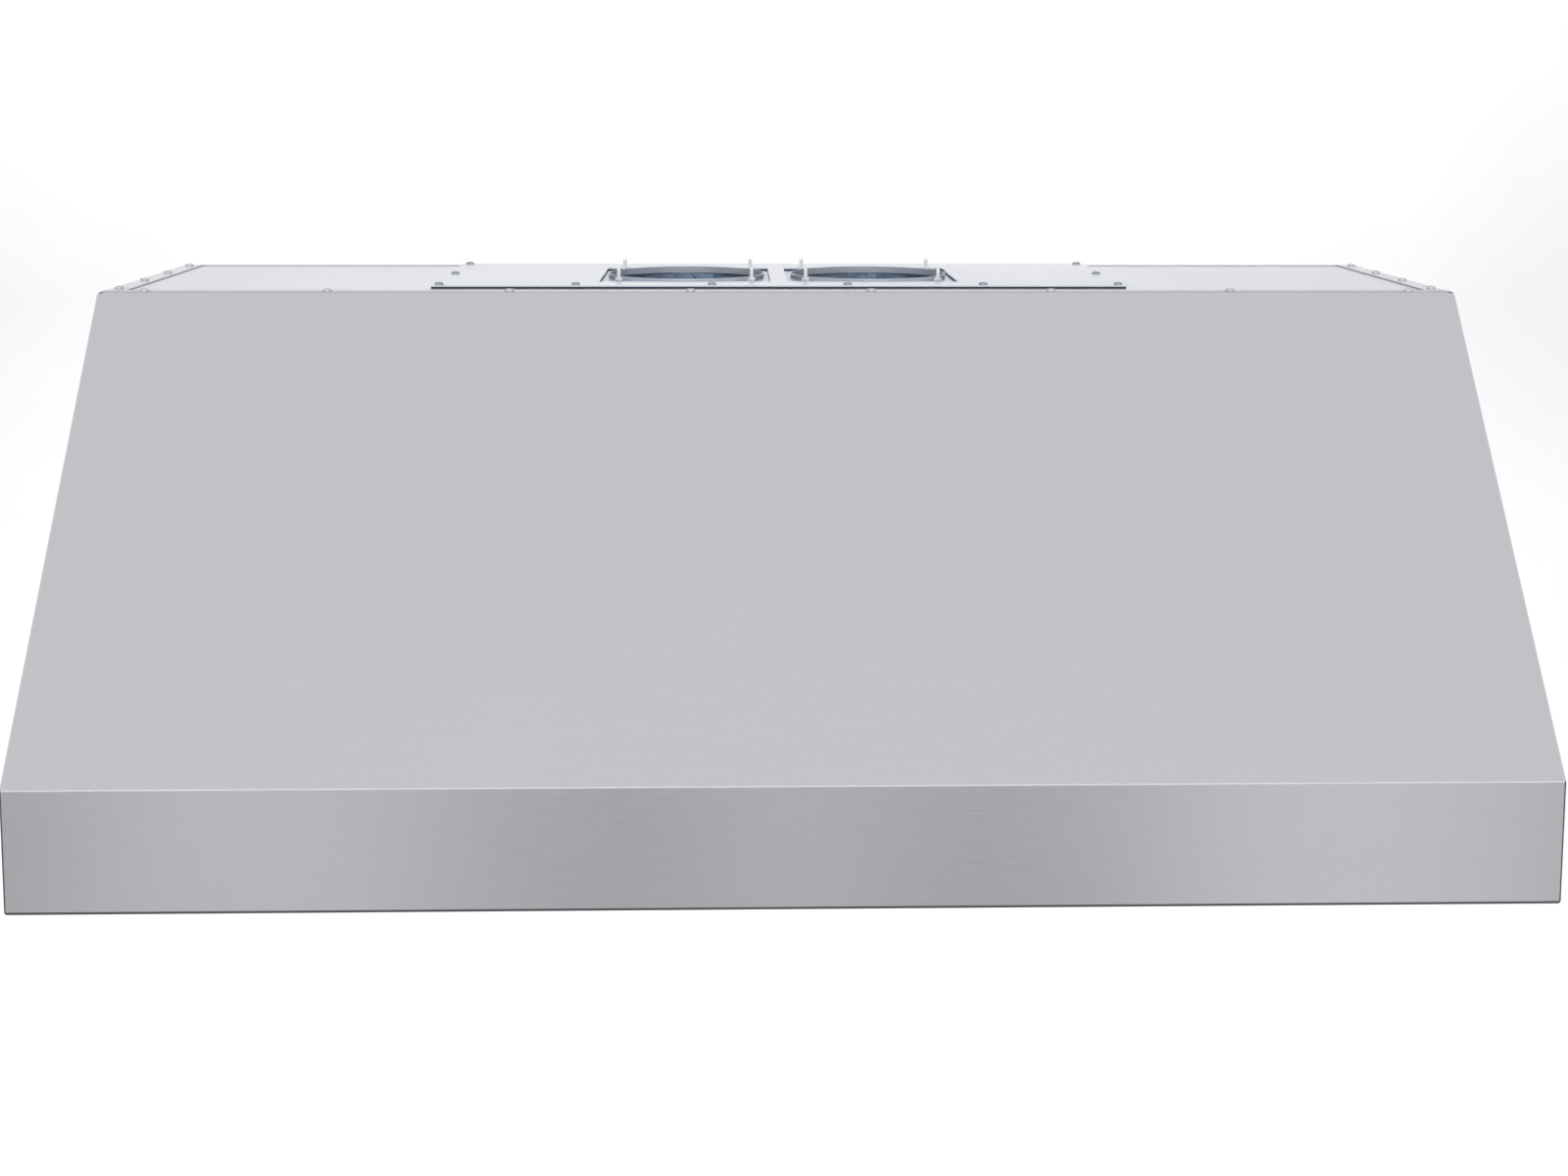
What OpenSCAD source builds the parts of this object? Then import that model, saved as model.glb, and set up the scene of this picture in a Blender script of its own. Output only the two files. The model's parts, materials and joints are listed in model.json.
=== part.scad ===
// Under cabinet range hood: a folded steel canopy over four baffle filters,
// with two double-inlet blowers hung from a removable plate in the top.
// Frame: origin at the centre of the bottom rim, +Z up, the front faces -Y. Units are millimetres.

/* [Canopy] */
// Overall width of the canopy
body_w = 1216; // [1100:1:1500]
// Overall depth, front band to wall
body_d = 610; // [590:1:700]
// Overall height of the canopy
body_h = 457; // [440:1:600]
// Height of the upright front band
band_h = 100; // [90:1:130]
// Depth of the flat top, the same as a wall cabinet
top_d = 305; // [300:1:340]
// Thickness of the outer sheet
sheet_t = 1.2; // [0.8:0.1:1.6]
// Inner radius of every sheet bend
bend_r = 1.8; // [1:0.1:3]
// Width of the flanges turned in at the top
flange_w = 20; // [18:1:24]
// Width of the lip turned in at the bottom rim
lip_w = 20; // [14:1:22]

/* [Blower plate] */
// Width of the removable plate that carries the blowers
plate_w = 640; // [600:1:800]
// Distance from the top's front edge to the plate
plate_front = 45; // [42:1:50]
// Thickness of the foam gasket under the plate
gasket_t = 1.8; // [1:0.1:3]
// Distance from the plate's edge to its screws
plate_inset = 7.5; // [6:0.5:9]

/* [Outlets] */
// Inner radius of the round outlet
outlet_r = 74; // [62:0.5:90]
// Height of the outlet ring above the flange it is pressed from
ring_h = 5; // [4:0.5:8]
// Distance from the ring to the circle of duct studs
stud_margin = 13.2; // [10:0.1:16]
// Radius of each duct stud
stud_r = 2; // [1.5:0.1:2.5]
// Length of each duct stud above its nut
stud_l = 9; // [6:1:16]

/* [Blower] */
// Distance of the blower axis below the top
axis_drop = 167; // [160:1:200]
// Outer radius of the impeller
wheel_r = 80; // [66:1:96]
// Number of impeller blades
blade_count = 36; // [24:1:48]
// Radius of the motor body
motor_r = 42; // [35:1:46]

/* [Underside] */
// Height of the rails' lower face above the rim
rail_z = 24; // [22:1:26]
// Depth of the front rail that holds the lamps and the switch
front_rail_d = 95; // [85:1:100]
// Depth of the grease trough at the back
trough_d = 83; // [76:1:90]
// Width of the side rails
side_rail_w = 28; // [24:1:40]
// Thickness of the rails' sheet
rail_t = 1.0; // [0.8:0.1:1.5]

/* [Filters] */
// Slope of the filters, down to the trough
filter_tilt = 8; // [6:0.5:9]
// Thickness of a filter frame
filter_t = 18; // [15:1:20]
// Gap between neighbouring filters
filter_gap = 2; // [1.5:0.5:4]
// Width of the frame's flange
frame_lip = 12; // [10:1:15]
// Number of baffles in the lower layer of a filter
baffle_count = 6; // [4:1:8]
// Thickness of the filter's sheet
filter_sheet = 0.8; // [0.6:0.1:1]
// Width of a pull handle
handle_w = 74; // [60:1:90]
// Drop of a pull handle below the filter
handle_drop = 22; // [18:1:28]
// Radius of the handle's rod
handle_r = 2.5; // [2:0.1:3]

/* [Controls and lamps] */
// Radius of a push button
button_r = 8; // [6:0.5:9]
// Pitch of the push buttons
button_pitch = 32; // [28:1:36]
// How far a button stands below the switch plate
button_out = 5; // [4:0.5:7]
// Radius of a lamp's can
lamp_r = 30; // [26:1:32]
// Width of the bezel round a lamp
bezel_w = 7; // [5:0.5:9]
// Length of a grease cup
cup_l = 110; // [90:1:130]

/* [Hidden] */
FILTERS = 4;
$fn = 48;
LEFT = -1;
RIGHT = 1;
fit = 0.3;

half_w = body_w / 2;
inner_w = half_w - sheet_t;
front_y = -body_d / 2;
back_y = body_d / 2;
top_front_y = back_y - top_d;
back_inner = back_y - sheet_t;
top_panel_z = body_h - sheet_t;

relief_w = 4;

screw_r = 1.9;
screw_head_r = 4;
screw_head_h = 2.4;
screw_hole_r = screw_r + fit;
front_screw_count = 8;
front_screw_inset = 39.25;
front_screw_pitch = (body_w - 2 * front_screw_inset) / (front_screw_count - 1);
front_screw_y = top_front_y + 8;
side_screw_count = 4;
side_screw_y = top_front_y + 34;
side_screw_back = 16;
side_screw_pitch = (back_y - side_screw_back - side_screw_y) / (side_screw_count - 1);
side_screw_x = half_w - flange_w / 2;

plate_back = 5;
plate_d = top_d - plate_front - plate_back;
plate_pitch_x = (plate_w - 2 * plate_inset) / 5;
plate_pitch_y = (plate_d - 2 * plate_inset) / 2;
plate_y0 = top_front_y + plate_front;
plate_cy = plate_y0 + plate_d / 2;
plate_z = top_panel_z + gasket_t;
plate_top = plate_z + sheet_t;
plate_margin = 20;
ring_t = 1.2;
cutout_w = 2 * (outlet_r + ring_t + 4.8);
flange_side = cutout_w + 14;
outlet_pitch = flange_side + 2;
outlet_y = plate_y0 + plate_margin + flange_side / 2 + 13;
stud_pitch = round((outlet_r + ring_t + stud_margin) * sqrt(2));
stud_seat_r = stud_r + 0.3;
nut_w = 8;
nut_h = 5;

scroll_t = 1;
scroll_w = 2 * outlet_r + 2;
duct_d = 2 * outlet_r + 2;
scroll_r = wheel_r + 55;
wheel_w = scroll_w - 38;
axis_z = body_h - axis_drop;
axis_y = outlet_y + duct_d / 2 - scroll_r;
duct_front = -(duct_d - scroll_r);
scroll_top = top_panel_z - sheet_t - axis_z;
tongue_z = wheel_r + 15;
inlet_r = wheel_r - 14;
blade_in_r = wheel_r - 14;
blade_t = 0.8;
disc_t = 1.6;
hub_r = 12;
shaft_r = 4;
motor_gap = 8;
motor_l = scroll_w / 2 - motor_gap - 13;
motor_nose = 6;
motor_arm_t = 2;
motor_arm_w = 16;
shaft_l = 20;
running_fit = 0.06;

rail_flange = 26;
front_rail_y = front_y + front_rail_d;
trough_front_y = back_inner - trough_d + sheet_t;
trough_z = 22;
lip_top = 44.5;
pivot = [trough_front_y, 44];
filter_bank_w = body_w - 2 * (side_rail_w + 5);
filter_w = (filter_bank_w - (FILTERS - 1) * filter_gap) / FILTERS;
filter_reach = trough_front_y - front_rail_y - 4;
filter_start = 3;
filter_rise = 1;
rail_wall_z = pivot[1] + filter_reach * sin(filter_tilt) + 4;
clip_t = 0.5;
hook_w = 24;
hook_reach = 10;
hook_drop = 5;
hook_spread = 90;
side_wall_z = rail_wall_z + filter_t + 4;
side_rail_x = half_w - side_rail_w;

lamp_y = (front_y + front_rail_y) / 2;
lamp_h = 26;
lamp_outer_x = half_w - 138;
lamp_inner_x = lamp_outer_x - 210;
switch_len = 5 * button_pitch + 20;
switch_w = 34;
switch_h = 24;
switch_plate_t = 2;
switch_rim = 6;
button_clear = 0.4;
button_travel = 3;
button_in = 4;

cup_w = 50;
cup_h = 17;
cup_t = 1;
cup_x = half_w - 308;
cup_y = trough_front_y + 34;
runner_w = 5;

wall_hole_r = 4;
wall_hole_x = half_w - 208;
wall_hole_z = [130, body_h - 57];
bushing_r = 14;
bushing_bore = 11.1;
box_x = half_w - 128;
box_z = body_h - 72;
box_size = [100, 62, 60];
box_wall = 1;
driver_x = [68 - half_w, 188 - half_w];
driver_d = 32;
driver_h = 44;
wire_r = 3.5;
wire_bend = 14;
wire_side_x = half_w - 14;
motor_wire_y = back_inner - 34;
driver_wire_y = back_inner - 20;
lamp_wire_z = rail_z + 36;
switch_wire_z = rail_z + 46;
lamp_wire_y = lamp_y - 22;
switch_wire_x = 40;
cap_r = 18;
cap_l = 55;
cap_x = outlet_pitch / 2 + scroll_w / 2 + 67;
cap_z = axis_z + 40;

// ---------- helpers ----------

// Profiles are drawn as [y, z] and extruded along x.
module along_x(x0, x1) translate([x0, 0, 0]) rotate([90, 0, 90]) linear_extrude(x1 - x0) children();

// Profiles are drawn as [x, z] and extruded along y.
module along_y(y0, y1) translate([0, y1, 0]) rotate([90, 0, 0]) linear_extrude(y1 - y0) children();

module box(low, high) translate(low) cube(high - low);

module both_sides() {
  children();
  mirror([1, 0, 0]) children();
}

module on_side(side) mirror([side == LEFT ? 1 : 0, 0, 0]) children();

function unit(v) = v / norm(v);
function left_of(v) = [-v[1], v[0]];
function reversed(list) = [for (i = [len(list) - 1:-1:0]) list[i]];

// One bend of a folded sheet: points with their normals, for a corner p between directions a and b.
function bend(p, a, b, side, t, steps = 5) =
  let (
    cross = a[0] * b[1] - a[1] * b[0],
    turn = cross > 0 ? 1 : -1,
    angle = acos(min(1, max(-1, a * b))),
    inside = turn * side > 0,
    r = inside ? bend_r + t : bend_r,
    start = p - a * r * tan(angle / 2),
    centre = start + turn * left_of(a) * r,
    from = atan2(start[1] - centre[1], start[0] - centre[0])
  )
  [for (i = [0:steps])
    let (q = from + turn * angle * i / steps, d = [cos(q), sin(q)])
    [centre + r * d, (inside ? -1 : 1) * d]];

// A folded sheet follows a path of corners, with its thickness on the left (side 1) or right (side -1).
function folded(path, t, side) =
  let (
    n = len(path),
    dirs = [for (i = [0:n - 2]) unit(path[i + 1] - path[i])],
    first = [[path[0], side * left_of(dirs[0])]],
    last = [[path[n - 1], side * left_of(dirs[n - 2])]],
    bends = n < 3 ? [] : [for (i = [1:n - 2]) each bend(path[i], dirs[i - 1], dirs[i], side, t)],
    run = concat(first, bends, last)
  )
  concat([for (s = run) s[0]], reversed([for (s = run) s[0] + t * s[1]]));

function outer_face(path, t, side) =
  let (points = folded(path, t, side)) [for (i = [0:len(points) / 2 - 1]) points[i]];

module cable(path, r, corner) {
  n = len(path);
  for (i = [0:n - 2]) {
    d = unit(path[i + 1] - path[i]);
    a = path[i] + (i > 0 ? corner : 0) * d;
    b = path[i + 1] - (i < n - 2 ? corner : 0) * d;
    rod(a, b, r);
  }
  for (i = [1:n - 2]) {
    d0 = unit(path[i] - path[i - 1]);
    d1 = unit(path[i + 1] - path[i]);
    elbow(path[i], d0, d1, r, corner);
  }
}

module rod(a, b, r) {
  d = b - a;
  translate(a) rotate([0, acos(d[2] / norm(d)), atan2(d[1], d[0])]) cylinder(r = r, h = norm(d), $fn = 16);
}

module elbow(p, d0, d1, r, corner) {
  c = p - d0 * corner + d1 * corner;
  z = cross(-d1, d0);
  multmatrix([[-d1[0], d0[0], z[0], c[0]], [-d1[1], d0[1], z[1], c[1]],
              [-d1[2], d0[2], z[2], c[2]], [0, 0, 0, 1]])
    rotate_extrude(angle = 90) translate([corner, 0]) circle(r = r, $fn = 16);
}

module screw(p, shank) translate(p) {
  cylinder(r = screw_head_r, h = screw_head_h * 0.45);
  translate([0, 0, screw_head_h * 0.45])
    cylinder(r1 = screw_head_r, r2 = screw_head_r * 0.6, h = screw_head_h * 0.55);
  translate([0, 0, -shank]) cylinder(r = screw_r, h = shank);
}

function front_screws() =
  [for (i = [0:front_screw_count - 1]) [(i - (front_screw_count - 1) / 2) * front_screw_pitch, front_screw_y]];
function side_screws() = [for (i = [0:side_screw_count - 1]) [side_screw_x, side_screw_y + i * side_screw_pitch]];
function plate_front_screws() = [for (i = [0:5]) [(i - 2.5) * plate_pitch_x, plate_y0 + plate_inset]];
function plate_side_screws() =
  [for (i = [1:2]) [plate_w / 2 - plate_inset, plate_y0 + plate_inset + i * plate_pitch_y]];

module holes_at(points, z0, z1, r) for (p = points) translate([p[0], p[1], z0]) cylinder(r = r, h = z1 - z0);

module casing_holes() {
  holes_at(front_screws(), top_panel_z - 2 * sheet_t, body_h + 1, screw_hole_r);
  both_sides() holes_at(side_screws(), top_panel_z - 2 * sheet_t, body_h + 1, screw_hole_r);
}

module plate_holes() {
  holes_at(plate_front_screws(), top_panel_z - 2 * sheet_t, plate_top + 1, screw_hole_r);
  both_sides() holes_at(plate_side_screws(), top_panel_z - 2 * sheet_t, plate_top + 1, screw_hole_r);
}

// ---------- canopy ----------

front_path = [[front_y + lip_w, 0], [front_y, 0], [front_y, band_h],
              [top_front_y, body_h], [top_front_y + flange_w, body_h]];

module front_panel() color([0.72, 0.72, 0.74]) difference() {
  along_x(-inner_w, inner_w) polygon(folded(front_path, sheet_t, -1));
  both_sides() box([inner_w - relief_w, top_front_y - 1, body_h - relief_w], [half_w, top_front_y + relief_w, body_h + 1]);
  casing_holes();
}

module side_outline() polygon(concat(outer_face(front_path, sheet_t, -1), [[back_inner, body_h], [back_inner, 0]]));

module side_panel() color([0.70, 0.70, 0.72]) difference() {
  union() {
    intersection() {
      along_y(front_y - 1, back_inner)
        polygon(folded([[half_w - lip_w, 0], [half_w, 0], [half_w, body_h], [half_w - flange_w, body_h]], sheet_t, 1));
      along_x(half_w - flange_w - 1, half_w + 1) side_outline();
    }
    box([half_w - flange_w, back_inner - sheet_t, trough_z + 45], [inner_w + 0.1, back_inner, top_panel_z - 30]);
  }
  box([half_w - flange_w - 1, front_y - 1, body_h / 2], [inner_w, top_front_y + flange_w, body_h + 1]);
  box([half_w - lip_w - 1, front_y - 1, -1], [inner_w, front_y + lip_w, body_h / 2]);
  box([half_w - lip_w - 1, back_y - lip_w, -1], [inner_w, back_y + 1, 2 * sheet_t + bend_r]);
  casing_holes();
}

module top_panel() color([0.80, 0.81, 0.83]) difference() {
  union() {
    along_x(-(half_w - flange_w - 2), half_w - flange_w - 2)
      polygon(folded([[top_front_y + 4, top_panel_z], [back_inner, top_panel_z],
                      [back_inner, top_panel_z - flange_w]], sheet_t, -1));
    both_sides() box([half_w - flange_w - 3, top_front_y + 4, top_panel_z - sheet_t],
                     [inner_w - bend_r, back_inner - sheet_t, top_panel_z]);
  }
  box([-(plate_w / 2 - plate_margin), plate_y0 + plate_margin, top_panel_z - 3],
      [plate_w / 2 - plate_margin, plate_y0 + plate_d - plate_margin, body_h]);
  casing_holes();
  plate_holes();
}

module back_panel() color([0.76, 0.77, 0.79]) difference() {
  along_x(-inner_w, inner_w) polygon(folded([[back_y - lip_w, 0], [back_y, 0], [back_y, body_h]], sheet_t, 1));
  for (x = [-wall_hole_x, wall_hole_x], z = wall_hole_z)
    translate([x, back_y + 1, z]) rotate([90, 0, 0]) cylinder(r = wall_hole_r, h = sheet_t + 2);
  translate([box_x, back_y + 1, box_z]) rotate([90, 0, 0]) cylinder(r = bushing_r, h = sheet_t + 2);
}

module casing_screws() color([0.62, 0.64, 0.67]) {
  for (p = front_screws()) screw([p[0], p[1], body_h], 8);
  both_sides() for (p = side_screws()) screw([p[0], p[1], body_h], 8);
}

// ---------- blower plate ----------

module outlet_cutouts(z0, z1) both_sides()
  box([outlet_pitch / 2 - cutout_w / 2, outlet_y - cutout_w / 2, z0],
      [outlet_pitch / 2 + cutout_w / 2, outlet_y + cutout_w / 2, z1]);

module blower_plate() color([0.84, 0.85, 0.87]) difference() {
  box([-plate_w / 2, plate_y0, plate_z], [plate_w / 2, plate_y0 + plate_d, plate_top]);
  outlet_cutouts(plate_z - 1, plate_top + 1);
  plate_holes();
}

module plate_gasket() color([0.06, 0.07, 0.08]) difference() {
  box([-plate_w / 2 + 1, plate_y0 + 1, top_panel_z], [plate_w / 2 - 1, plate_y0 + plate_d - 1, plate_z]);
  outlet_cutouts(top_panel_z - 1, plate_z + 1);
  plate_holes();
}

module plate_screws() color([0.45, 0.50, 0.55]) {
  for (p = plate_front_screws()) screw([p[0], p[1], plate_top], 10);
  both_sides() for (p = plate_side_screws()) screw([p[0], p[1], plate_top], 10);
}

function stud_places() = [for (i = [-1, 1], j = [-1, 1]) [i * stud_pitch / 2, j * stud_pitch / 2]];

// A square flange under the plate, with the round outlet pressed up from it.
module outlet_ring() color([0.86, 0.87, 0.88]) translate([outlet_pitch / 2, outlet_y, top_panel_z - sheet_t])
  difference() {
    union() {
      translate([-flange_side / 2, -flange_side / 2, 0]) cube([flange_side, flange_side, sheet_t]);
      cylinder(r = outlet_r + ring_t, h = sheet_t + ring_h, $fn = 96);
    }
    translate([0, 0, -1]) cylinder(r = outlet_r, h = ring_h + 4, $fn = 96);
    for (p = stud_places()) translate([p[0], p[1], -1]) cylinder(r = stud_seat_r + 0.05, h = 4);
  }

module duct_studs() color([0.80, 0.81, 0.82]) both_sides()
  for (p = stud_places()) translate([outlet_pitch / 2 + p[0], outlet_y + p[1], top_panel_z]) {
    cylinder(r = nut_w / 2 / cos(30), h = nut_h, $fn = 6);
    cylinder(r = stud_r, h = nut_h + stud_l);
    translate([0, 0, -sheet_t]) cylinder(r = stud_seat_r, h = sheet_t + nut_h / 2);
  }

// ---------- blowers ----------

tongue = [duct_front, tongue_z];
function spiral_r(q) = norm(tongue) + (scroll_r - norm(tongue)) * (q - start_angle) / (360 - start_angle);
start_angle = atan2(tongue[1], tongue[0]);
spiral_steps = 40;
function spiral(grow, from) =
  [for (i = [0:spiral_steps]) let (q = from + (360 - from) * i / spiral_steps)
    (spiral_r(q) + grow) * [cos(q), sin(q)]];
function scroll_inside() = concat([[duct_front, scroll_top], tongue], spiral(0, start_angle), [[scroll_r, scroll_top]]);
function scroll_outside() =
  concat([[duct_front - scroll_t, scroll_top], [duct_front - scroll_t, tongue_z + scroll_t]],
         spiral(scroll_t, start_angle + 1), [[scroll_r + scroll_t, scroll_top]]);

scroll_x0 = outlet_pitch / 2 - scroll_w / 2;
scroll_x1 = outlet_pitch / 2 + scroll_w / 2;
wheel_x0 = outlet_pitch / 2 - wheel_w / 2;
motor_end_x = wheel_x0 + wheel_w / 2 - motor_gap;

module at_axis() translate([0, axis_y, axis_z]) children();

module turned(x0, x1, r) translate([x0, 0, 0]) rotate([0, 90, 0]) cylinder(r = r, h = x1 - x0);

module scroll_case() color([0.66, 0.68, 0.70]) at_axis() {
  along_x(scroll_x0, scroll_x1) polygon(concat(scroll_inside(), reversed(scroll_outside())));
  difference() {
    along_x(scroll_x0 - scroll_t, scroll_x0) polygon(scroll_outside());
    turned(scroll_x0 - 2, scroll_x0 + 1, inlet_r);
  }
}

// The outer side of the scroll, with its bell mouth turned in towards the wheel.
module inlet_cover() color([0.66, 0.68, 0.70]) at_axis() difference() {
  union() {
    along_x(scroll_x1, scroll_x1 + scroll_t) polygon(scroll_outside());
    turned(wheel_x0 + wheel_w + 3, scroll_x1 + 0.1, inlet_r + 2.5);
    translate([scroll_x1 + scroll_t, 0, 0]) rotate([0, 90, 0])
      cylinder(r1 = inlet_r + 6, r2 = inlet_r + 3, h = 2.5);
  }
  turned(wheel_x0 + wheel_w + 2, scroll_x1 + 5, inlet_r);
}

function blade() =
  let (steps = 5, lean = 13,
       face = [for (i = [0:steps]) let (k = i / steps, r = blade_in_r + (wheel_r - blade_in_r) * k,
                                         q = lean * pow(k, 1.7)) r * [cos(q), sin(q)]],
       rear = [for (i = [0:steps]) let (k = i / steps, r = blade_in_r + (wheel_r - blade_in_r) * k,
                                         q = lean * pow(k, 1.7) - blade_t / r * 180 / PI) r * [cos(q), sin(q)]])
  concat(face, reversed(rear));

module wheel_band(x, w) difference() {
  turned(x, x + w, wheel_r + 0.6);
  turned(x - 1, x + w + 1, wheel_r - 2.5);
}

module impeller() color([0.30, 0.31, 0.33]) at_axis() {
  centre = wheel_x0 + wheel_w / 2;
  along_x(wheel_x0, wheel_x0 + wheel_w) for (i = [0:blade_count - 1]) rotate(i * 360 / blade_count) polygon(blade());
  wheel_band(wheel_x0, 3);
  wheel_band(wheel_x0 + wheel_w - 3, 3);
  turned(centre - disc_t / 2, centre + disc_t / 2, wheel_r - 1);
  turned(centre - 2, centre + 14, hub_r);
  turned(motor_end_x - shaft_l, centre + 20, shaft_r);
}

// The motor sits in the inner inlet, on three arms that reach the scroll's side.
module motor() color([0.16, 0.17, 0.18]) at_axis() {
  end = motor_end_x;
  rear = end - motor_l;
  arm_x = scroll_x0 - scroll_t - motor_arm_t;
  nose_r = motor_r * 0.72;
  skirt_r = motor_r * 0.8;
  bore_r = shaft_r + running_fit;
  rotate([0, 90, 0]) rotate_extrude()
    polygon([[skirt_r - 10, arm_x - 1], [skirt_r, arm_x - 1], [skirt_r, rear], [motor_r, rear], [motor_r, end - motor_nose],
             [nose_r, end - motor_nose], [nose_r, end], [bore_r, end], [bore_r, end - shaft_l - 1],
             [0, end - shaft_l - 1], [0, rear], [skirt_r - 10, rear]]);
  for (q = [30, 150, 270]) rotate([q, 0, 0])
    box([arm_x, -motor_arm_w / 2, skirt_r - 5], [arm_x + motor_arm_t, motor_arm_w / 2, inlet_r + 8]);
}

module run_capacitors() color([0.88, 0.88, 0.86]) both_sides()
  translate([cap_x, back_inner, cap_z]) rotate([90, 0, 0]) {
    cylinder(r = cap_r + 2, h = 8);
    cylinder(r = cap_r, h = cap_l);
    for (s = [-6, 6]) translate([s - 0.5, -3, cap_l - 0.1]) cube([1, 6, 8]);
  }

// ---------- underside ----------

module lamp_places() for (x = [-lamp_outer_x, -lamp_inner_x, lamp_inner_x, lamp_outer_x]) translate([x, lamp_y, 0]) children();

front_rail_path = [[front_y + sheet_t, rail_z + rail_flange], [front_y + sheet_t, rail_z],
                   [front_rail_y, rail_z], [front_rail_y, rail_wall_z], [front_rail_y - 12, rail_wall_z]];

module front_rail() color([0.74, 0.74, 0.76]) difference() {
  along_x(-(inner_w - fit), inner_w - fit) polygon(folded(front_rail_path, rail_t, 1));
  lamp_places() translate([0, 0, rail_z - 1]) cylinder(r = lamp_r + fit, h = rail_t + 2);
  box([-switch_len / 2 - fit, lamp_y - switch_w / 2 - fit, rail_z - 1],
      [switch_len / 2 + fit, lamp_y + switch_w / 2 + fit, rail_z + 3]);
  for (p = [[-wire_side_x, lamp_wire_z], [wire_side_x, switch_wire_z]])
    translate([p[0], front_rail_y + 1, p[1]]) rotate([90, 0, 0]) cylinder(r = wire_r + 2, h = rail_t + 2);
}

module cup_runner() difference() {
  box([cup_x - cup_l / 2, cup_y - cup_w / 2 - runner_w - 3, trough_z - 6],
      [cup_x + cup_l / 2, cup_y - cup_w / 2 - 1 - fit, trough_z]);
  box([cup_x - cup_l, cup_y - cup_w / 2 - runner_w - fit, trough_z - 4.5], [cup_x + cup_l, cup_y, trough_z - 1.5]);
}

module rear_trough() color([0.74, 0.74, 0.76]) difference() {
  union() {
    along_x(-(inner_w - fit), inner_w - fit)
      polygon(folded([[back_inner, trough_z + 38], [back_inner, trough_z], [trough_front_y, trough_z],
                      [trough_front_y, lip_top]], rail_t, -1));
    both_sides() {
      cup_runner();
      translate([0, 2 * cup_y, 0]) mirror([0, 1, 0]) cup_runner();
    }
  }
  for (x = [-cup_x, cup_x]) translate([x, cup_y, trough_z - 1]) cylinder(r = 6, h = rail_t + 2);
}

module grease_cup() color([0.78, 0.78, 0.80]) difference() {
  low = [cup_x - cup_l / 2, cup_y - cup_w / 2, trough_z - fit - cup_h - 1.5];
  high = [cup_x + cup_l / 2, cup_y + cup_w / 2, trough_z - 1.5 - fit];
  union() {
    box(low, high);
    box([low[0], low[1] - runner_w + 0.5, high[2] - 2], [high[0], high[1] + runner_w - 0.5, high[2]]);
    box([high[0] - 1, cup_y - 14, high[2] - 2], [high[0] + 12, cup_y + 14, high[2] - 0.8]);
  }
  box(low + [cup_t, cup_t, cup_t], [high[0] - cup_t, high[1] - cup_t, high[2] + 1]);
}

module side_rail() color([0.74, 0.74, 0.76])
  along_y(front_rail_y + fit, trough_front_y - fit)
    polygon(folded([[inner_w, rail_z + rail_flange], [inner_w, rail_z], [side_rail_x, rail_z],
                    [side_rail_x, side_wall_z]], rail_t, -1));

function clip_path() =
  let (z = pivot[1] + filter_reach * sin(filter_tilt), y = front_rail_y)
  [[y, z - 30], [y, z - 18], [y + 5.6, z - 5], [y + 2, z + 2]];

module filter_clips() color([0.55, 0.57, 0.60])
  for (i = [0:FILTERS - 1], s = [-1, 1]) translate([filter_x(i) + s * 80, 0, 0])
    along_x(-9, 9) polygon(folded(clip_path(), clip_t, -1));

// ---------- filters ----------

function filter_x(i) = (i - (FILTERS - 1) / 2) * (filter_w + filter_gap);

// A filter is drawn flat, running along -y from its pivot, then tilted up about the pivot.
module at_filter(i) translate([filter_x(i), pivot[0], pivot[1]]) rotate([-filter_tilt, 0, 0]) children();

module filter_frame(i) color([0.75, 0.76, 0.78]) at_filter(i) {
  x = filter_w / 2;
  low = filter_rise;
  high = filter_rise + filter_t;
  difference() {
    box([-x, -filter_reach, low], [x, -filter_start, high]);
    box([-x + frame_lip, -filter_reach + frame_lip, low - 1], [x - frame_lip, -filter_start - frame_lip, high + 1]);
    box([-x + 1, -filter_reach + 1, low + 1], [x - 1, -filter_start - 1, high - 1]);
  }
  for (s = [-1, 1]) translate([s * hook_spread, 0, 0]) {
    box([-hook_w / 2, -filter_start - 1, low], [hook_w / 2, hook_reach, low + 1]);
    box([-hook_w / 2, hook_reach - 1, low - hook_drop], [hook_w / 2, hook_reach, low + 0.5]);
  }
}

module baffle(w, h) {
  t = filter_sheet;
  polygon([[-w / 2, 0], [w / 2, 0], [w / 2, h], [w / 2 - t, h], [w / 2 - t, t], [-w / 2 + t, t],
           [-w / 2 + t, h], [-w / 2, h]]);
}

module filter_baffles(i) color([0.80, 0.81, 0.83]) at_filter(i) {
  low = filter_rise + 1;
  depth = filter_t - 2;
  span = filter_w - 2;
  pitch = span / baffle_count;
  wide = pitch * 0.62;
  y0 = -filter_reach + 1;
  y1 = -filter_start - 1;
  along_y(y0, y1) for (k = [0:baffle_count - 1])
    translate([(k - (baffle_count - 1) / 2) * pitch, low]) baffle(wide, depth * 0.4);
  along_y(y0, y1) for (k = [1:baffle_count - 1])
    translate([(k - baffle_count / 2) * pitch, low + depth * 0.85]) mirror([0, 1]) baffle(wide, depth * 0.5);
  for (y = [y0, y1 - 1]) box([-span / 2, y, low], [span / 2, y + 1, low + depth]);
}

module filter_handle(i) color([0.62, 0.63, 0.65]) at_filter(i) {
  y = -filter_reach + frame_lip / 2;
  foot = (handle_w - 2 * handle_r) / 2;
  corner = 8;
  top = filter_rise;
  cable([[-foot, y, top], [-foot, y, top - handle_drop], [foot, y, top - handle_drop], [foot, y, top]], handle_r, corner);
  for (s = [-1, 1]) translate([s * foot, y, top - 1.5]) cylinder(r = 5.5, h = 1.5);
}

// ---------- controls and lamps ----------

function button_x(k) = (k - 2) * button_pitch;

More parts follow.
